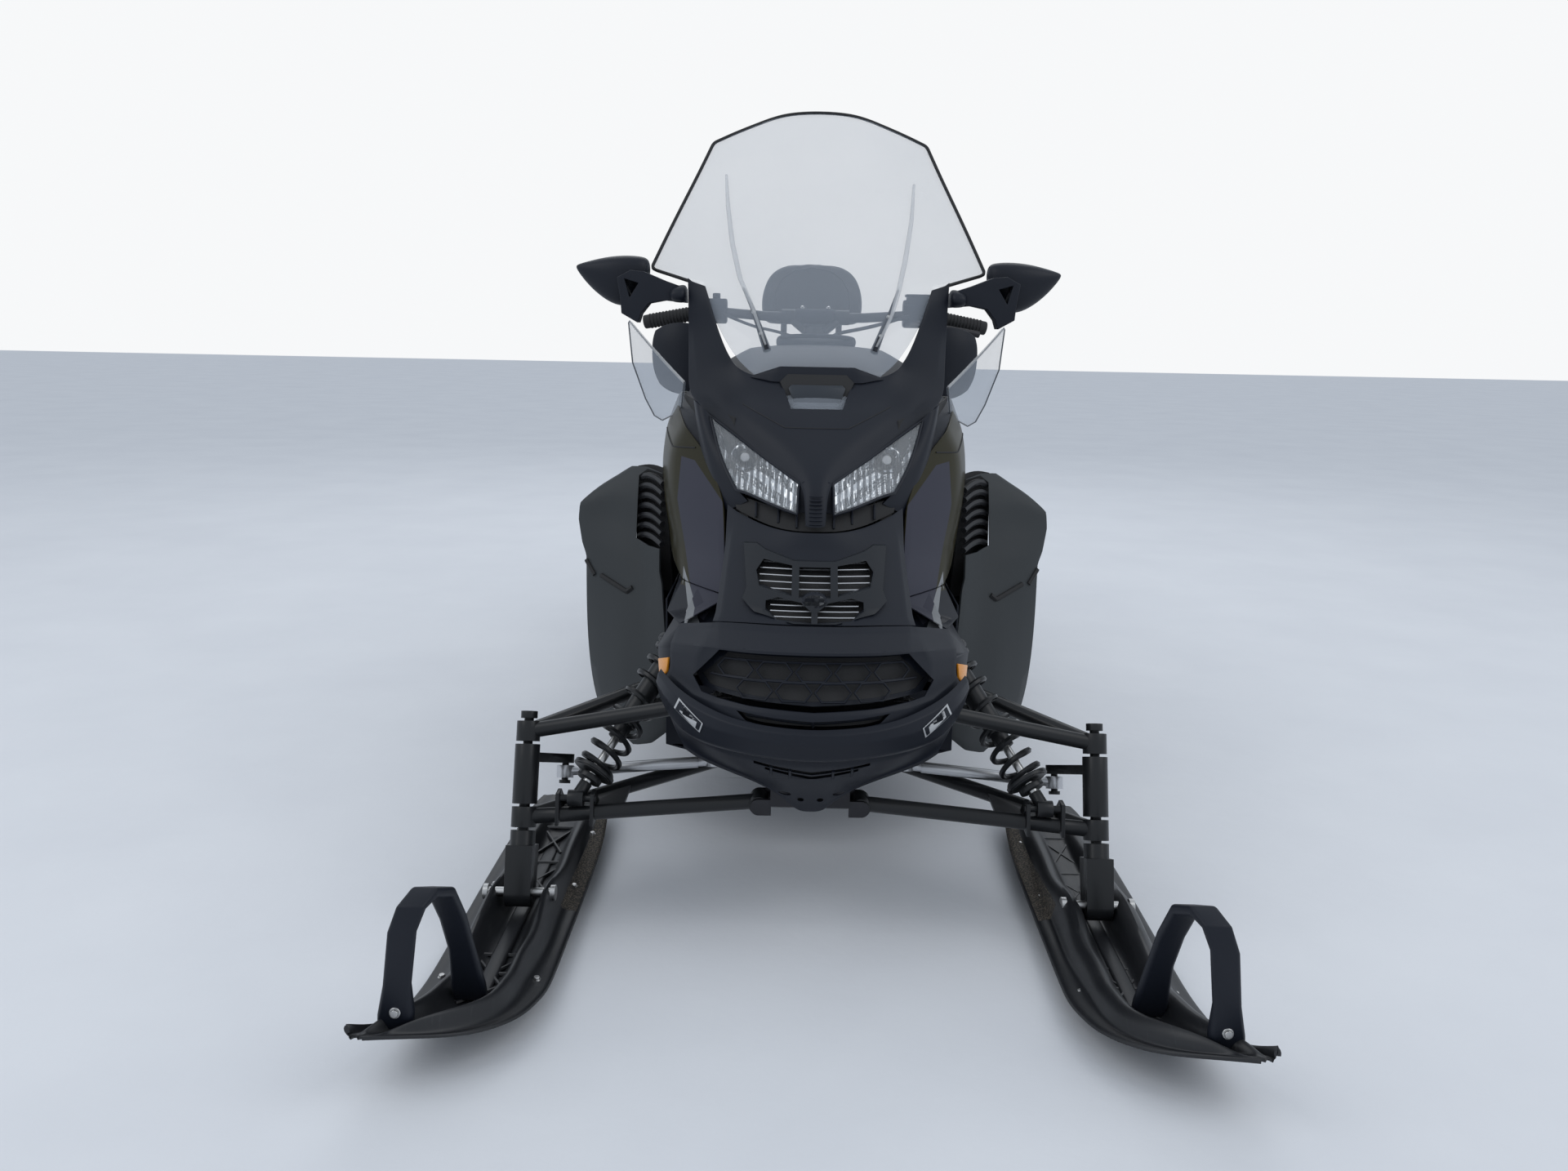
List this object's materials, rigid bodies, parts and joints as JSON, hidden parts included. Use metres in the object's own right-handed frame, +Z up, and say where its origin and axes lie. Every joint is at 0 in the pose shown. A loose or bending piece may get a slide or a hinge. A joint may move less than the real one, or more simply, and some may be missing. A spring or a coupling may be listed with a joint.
{
  "type": "snowmobile",
  "caption": "Two-seat touring snowmobile with a wide rubber track, two steered skis, tall clear windshield, backrest and rear cargo rack.",
  "frame": {"origin": "on the ground under the middle of the overall length, on the centre plane", "axes": "+Z up, -Y forward, +X to the rider's left"},
  "size_m": [1.203, 3.24, 1.456],
  "materials": {
    "black_plastic": "satin moulded plastic",
    "grey_plastic": "matt moulded plastic",
    "olive_panel": "gloss metallic olive",
    "clear_glass": "clear polycarbonate",
    "lens": "clear lens",
    "reflector": "bright reflector",
    "amber": "amber reflector",
    "red_lens": "red lens",
    "black_steel": "satin black paint",
    "bare_steel": "plated steel",
    "alloy": "bare aluminium",
    "dark_alloy": "black coated aluminium",
    "rubber": "black rubber",
    "vinyl": "black seat vinyl",
    "engine_metal": "cast metal"
  },
  "bodies": {
    "chassis": {"front_frame": "dark_alloy", "lower_arms": "black_steel", "upper_arms": "black_steel", "front_dampers": "black_steel", "front_springs": "black_steel", "track": "rubber", "slide_rails": "alloy", "rail_sliders": "grey_plastic", "idler_wheels": "rubber", "rail_shafts": "bare_steel", "drive_axle": "black_steel", "torque_arms": "black_steel", "track_dampers": "black_steel", "tunnel": "dark_alloy", "running_boards": "dark_alloy", "drop_brackets": "alloy", "rear_bumper": "black_steel", "hitch": "black_steel", "snow_flap": "rubber", "cargo_rack": "black_steel", "tail_lamp": "red_lens", "seat": "vinyl", "backrest": "vinyl", "backrest_frame": "black_steel", "console": "black_plastic", "engine": "engine_metal", "steering_mount": "alloy", "belly_pan": "black_plastic", "front_bumper": "black_steel", "front_fascia": "black_plastic", "hood": "black_plastic", "grilles": "grey_plastic", "nose_shield": "black_plastic", "windshield": "clear_glass", "headlamp_lenses": "lens", "headlamp_housings": "reflector", "side_panels": "olive_panel", "lower_cowls": "black_plastic", "leg_deflectors": "grey_plastic", "dash": "black_plastic", "mirrors": "black_plastic", "knee_deflectors": "clear_glass", "side_reflectors": "amber"},
    "steering": {"handlebar": "black_steel", "grips": "rubber", "bar_controls": "black_plastic", "hand_guards": "black_plastic"},
    "spindle_left": {"spindle_left": "black_steel"},
    "spindle_right": {"spindle_right": "black_steel"},
    "tie_rod_left": {"tie_rod_left": "alloy"},
    "tie_rod_right": {"tie_rod_right": "alloy"},
    "ski_left": {"ski_left": "black_plastic", "ski_steel_left": "bare_steel", "ski_loop_left": "black_plastic"},
    "ski_right": {"ski_right": "black_plastic", "ski_steel_right": "bare_steel", "ski_loop_right": "black_plastic"}
  },
  "joints": [
    {"name": "steer_bar", "type": "hinge", "parent": "chassis", "child": "steering", "pos_m": [0, -0.16, 1], "axis": [0, 0.5736, 0.8192], "range_deg": [-32, 32]},
    {"name": "steer_left", "type": "hinge", "parent": "chassis", "child": "spindle_left", "pos_m": [0.4825, -1.145, 0.075], "axis": [0, 0.3518, 0.9361], "range_deg": [-26, 26]},
    {"name": "tie_left", "type": "hinge", "parent": "spindle_left", "child": "tie_rod_left", "pos_m": [0.4375, -0.96663, 0.22269], "axis": [0, 0.3518, 0.9361], "range_deg": [-26, 26]},
    {"name": "ski_tilt_left", "type": "hinge", "parent": "spindle_left", "child": "ski_left", "pos_m": [0.4825, -1.145, 0.075], "axis": [1, 0, 0], "range_deg": [-20, 12]},
    {"name": "steer_right", "type": "hinge", "parent": "chassis", "child": "spindle_right", "pos_m": [-0.4825, -1.145, 0.075], "axis": [0, 0.3518, 0.9361], "range_deg": [-26, 26]},
    {"name": "tie_right", "type": "hinge", "parent": "spindle_right", "child": "tie_rod_right", "pos_m": [-0.4375, -0.96663, 0.22269], "axis": [0, 0.3518, 0.9361], "range_deg": [-26, 26]},
    {"name": "ski_tilt_right", "type": "hinge", "parent": "spindle_right", "child": "ski_right", "pos_m": [-0.4825, -1.145, 0.075], "axis": [1, 0, 0], "range_deg": [-20, 12]}
  ],
  "couplings": [
    {"joint": "steer_left", "follows": "steer_bar", "ratio": 0.8},
    {"joint": "tie_left", "follows": "steer_bar", "ratio": -0.8},
    {"joint": "steer_right", "follows": "steer_bar", "ratio": 0.8},
    {"joint": "tie_right", "follows": "steer_bar", "ratio": -0.8}
  ]
}
